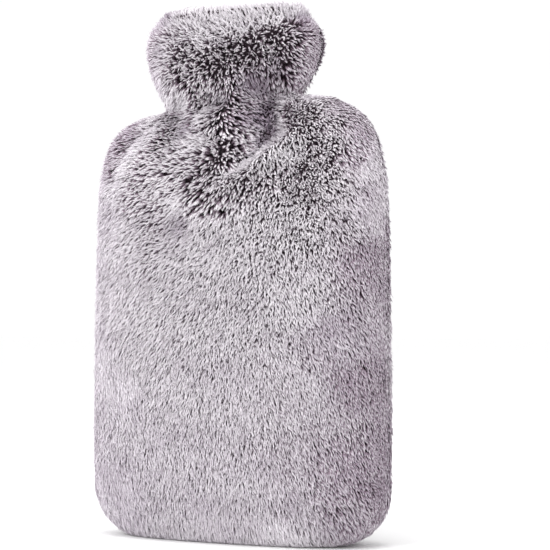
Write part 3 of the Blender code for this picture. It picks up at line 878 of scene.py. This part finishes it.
# %% The fibres' material
ROOT_COLOUR = (0.014, 0.003, 0.008, 1)
MIDDLE_COLOUR = (0.31, 0.23, 0.29, 1)
DARK_TIP = (0.38, 0.30, 0.39, 1)
PALE_TIP = (0.96, 0.93, 0.96, 1)
ROOT_TO_MIDDLE, MIDDLE_TO_TIP = (0.26, 0.46), (0.44, 0.66)  # where in the dye they give way

pile_material, tree, shader = new_material("plush_fibres", roughness=0.62, sheen=0.08)
uv_map = tree.nodes.new("ShaderNodeUVMap")
uv_map.uv_map = "OFBake"
split = tree.nodes.new("ShaderNodeSeparateXYZ")
tree.links.new(uv_map.outputs[0], split.inputs[0])
along_fibre, paleness = (Socket(tree, split.outputs[k]) for k in (0, 1))
tip_colour = paleness.between(0, 1).mixed(DARK_TIP, PALE_TIP)
lower_half = along_fibre.between(*ROOT_TO_MIDDLE).mixed(ROOT_COLOUR, MIDDLE_COLOUR)
fibre_colour = along_fibre.between(*MIDDLE_TO_TIP).mixed(lower_half, tip_colour)
tree.links.new(fibre_colour.socket, shader.inputs["Base Color"])
print(pile_material.name, "has", len(tree.nodes), "nodes")

# %% [markdown]
# The backing is a dense knitted cloth in the colour of the roots. Little of it shows between the
# locks, and inside the collar it is plain, with the fine ribs of the knit, under 2 mm apart.

# %% The backing's material
BACKING_DARK = (0.040, 0.026, 0.034, 1)
BACKING_PALE = (0.085, 0.060, 0.075, 1)
RIB_SCALE, RIB_HEIGHT = 180.0, 0.0004
CLOUD_SCALE = 60.0
WORN_FROM_TO = (0.3, 0.8)

backing_material, tree, shader = new_material("knitted_backing", roughness=0.9, sheen=0.1)
place = Socket(tree, tree.nodes.new("ShaderNodeTexCoord").outputs["Object"])
ribs = place.out(place.node("ShaderNodeTexWave", {"bands_direction": "X"}, Vector=place,
                            Scale=RIB_SCALE, Distortion=1.5, Detail=2.0), "Fac")
clouds = place.out(place.node("ShaderNodeTexNoise", Vector=place, Scale=CLOUD_SCALE,
                              Detail=4.0), "Fac")
worn = (ribs * 0.5 + clouds * 0.5).between(*WORN_FROM_TO)
tree.links.new(worn.mixed(BACKING_DARK, BACKING_PALE).socket, shader.inputs["Base Color"])
bump = ribs.node("ShaderNodeBump", Height=ribs, Strength=0.4, Distance=RIB_HEIGHT)
tree.links.new(bump.outputs[0], shader.inputs["Normal"])
print(backing_material.name, "has", len(tree.nodes), "nodes")
for cloth in cloths.values():
    cloth.data.materials.clear()
    cloth.data.materials.append(backing_material)
    face_count = len(cloth.data.polygons)
    cloth.data.polygons.foreach_set("material_index", np.zeros(face_count, np.int32))

# %% [markdown]
# ## Grow the pile on both panels
#
# A piece of the pile is one stretch of a panel between two heights. That keeps each mesh small
# enough to be handled, and gives each a name that says where it is. The camera doesn't see the back,
# so its locks are coarser, with fewer and broader fibres.

# %% Plant every panel
Band = namedtuple("Band", "name top")  # top is in millimetres
BANDS = [
    Band("base", 78),
    Band("middle", 150),
    Band("chest", 216),
    Band("shoulders", 283),
    Band("collar", 400),
]
# coarser widens the locks, tries is how many places are drawn, fibres is their number on a square
# millimetre, and width is a blade's.
Growth = namedtuple("Growth", "coarser tries fibres width")
GROWTH = {
    "front_panel": Growth(1.0, 420000, 6.4, 0.42 * MM),
    "back_panel": Growth(1.3, 200000, 2.9, 0.60 * MM),
}
piles, triangles = {}, 0
for node, growth in GROWTH.items():
    side_name = node.split("_")[0]
    places, normals = scatter(skins[node], growth.coarser, growth.tries)
    brush = brushing(places, normals, STROKES[node])
    locks = shape_locks(places, normals, brush)
    blades, lock = grow(places, normals, brush, locks, growth)
    uvs = dye_and_paint_light(locks, lock)
    root_heights = blades[:, 0, 2] / MM
    piles[node] = []
    low = 0
    for band in BANDS:
        inside = (root_heights >= low) & (root_heights < band.top)
        low = band.top
        name = f"{side_name}_pile_{band.name}"
        piles[node].append(pile_object(name, blades[inside], uvs[inside], pile_material))
        print(name, int(inside.sum()), "fibres,", int(inside.sum()) * len(BLADE), "triangles")
    triangles += len(blades) * len(BLADE) + len(cloths[node].data.polygons)
    print(node, len(places), "locks")
print("triangles in all:", triangles)

# %% [markdown]
# ## The floor and the light
#
# A plain pale floor, a white room that lights everything softly, and two large soft lamps. The
# stronger one is in front, to the left of the camera, so the left edge is bright and the right side
# lies in gentle shade. The other hangs overhead and lights the top of the collar and the shoulders.

# %% Floor, room and lamps
FLOOR_SIZE = 30
FLOOR_COLOUR = (0.99, 0.99, 0.99, 1)
ROOM_COLOUR = (1, 1, 1, 1)
ROOM_LIGHT = 1.012  # a little over 1 hides the line where the floor ends
LAMPS_AIM = Vector((0, 0, 0.17))
Lamp = namedtuple("Lamp", "name place size power")
LAMPS = [
    Lamp("key", (-0.5, -1.6, 1.1), 1.0, 16),
    Lamp("top", (0.1, -0.2, 1.6), 0.9, 8),
]

bpy.ops.mesh.primitive_plane_add(size=FLOOR_SIZE, location=(0, 0, 0))
floor = bpy.context.object
floor.name = "floor"
floor_material, tree, shader = new_material("floor_paint", roughness=0.8, sheen=0)
shader.inputs["Base Color"].default_value = FLOOR_COLOUR
floor.data.materials.append(floor_material)
floor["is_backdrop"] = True

world = bpy.data.worlds.new("room")
bpy.context.scene.world = world
world.use_nodes = True
background = world.node_tree.nodes["Background"]
background.inputs["Color"].default_value = ROOM_COLOUR
background.inputs["Strength"].default_value = ROOM_LIGHT

for lamp in LAMPS:
    data = bpy.data.lights.new(lamp.name, "AREA")
    data.size = lamp.size
    data.energy = lamp.power
    light = bpy.data.objects.new(lamp.name, data)
    bpy.context.scene.collection.objects.link(light)
    light.location = lamp.place
    light.rotation_euler = (LAMPS_AIM - light.location).to_track_quat("-Z", "Y").to_euler()
    print(lamp.name, "lamp of", lamp.power, "W")

view_settings = bpy.context.scene.view_settings
view_settings.view_transform = "Standard"
view_settings.look = "None"

# %% [markdown]
# ## Tie the pieces to the frame
#
# Each cloth stands for its panel, which is hidden, and is attached to the root. The pile goes
# with it.

# %% Hide the panels and attach the pieces
for node, cloth in cloths.items():
    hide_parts(node)
    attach(cloth, "root")
    for piece in piles[node]:
        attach(piece, "root")

# %% [markdown]
# The frame's size, kept at the start, and the finished cover's are printed together. The pile
# may reach a few millimetres past the frame.

# %% Print the sizes
boxes = {"cad": [list(map(float, corner)) for corner in cad_box],
         "visual": [list(map(float, corner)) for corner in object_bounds()]}
print("sizes in mm:", {k: [[round(v / MM, 1) for v in c] for c in b] for k, b in boxes.items()})
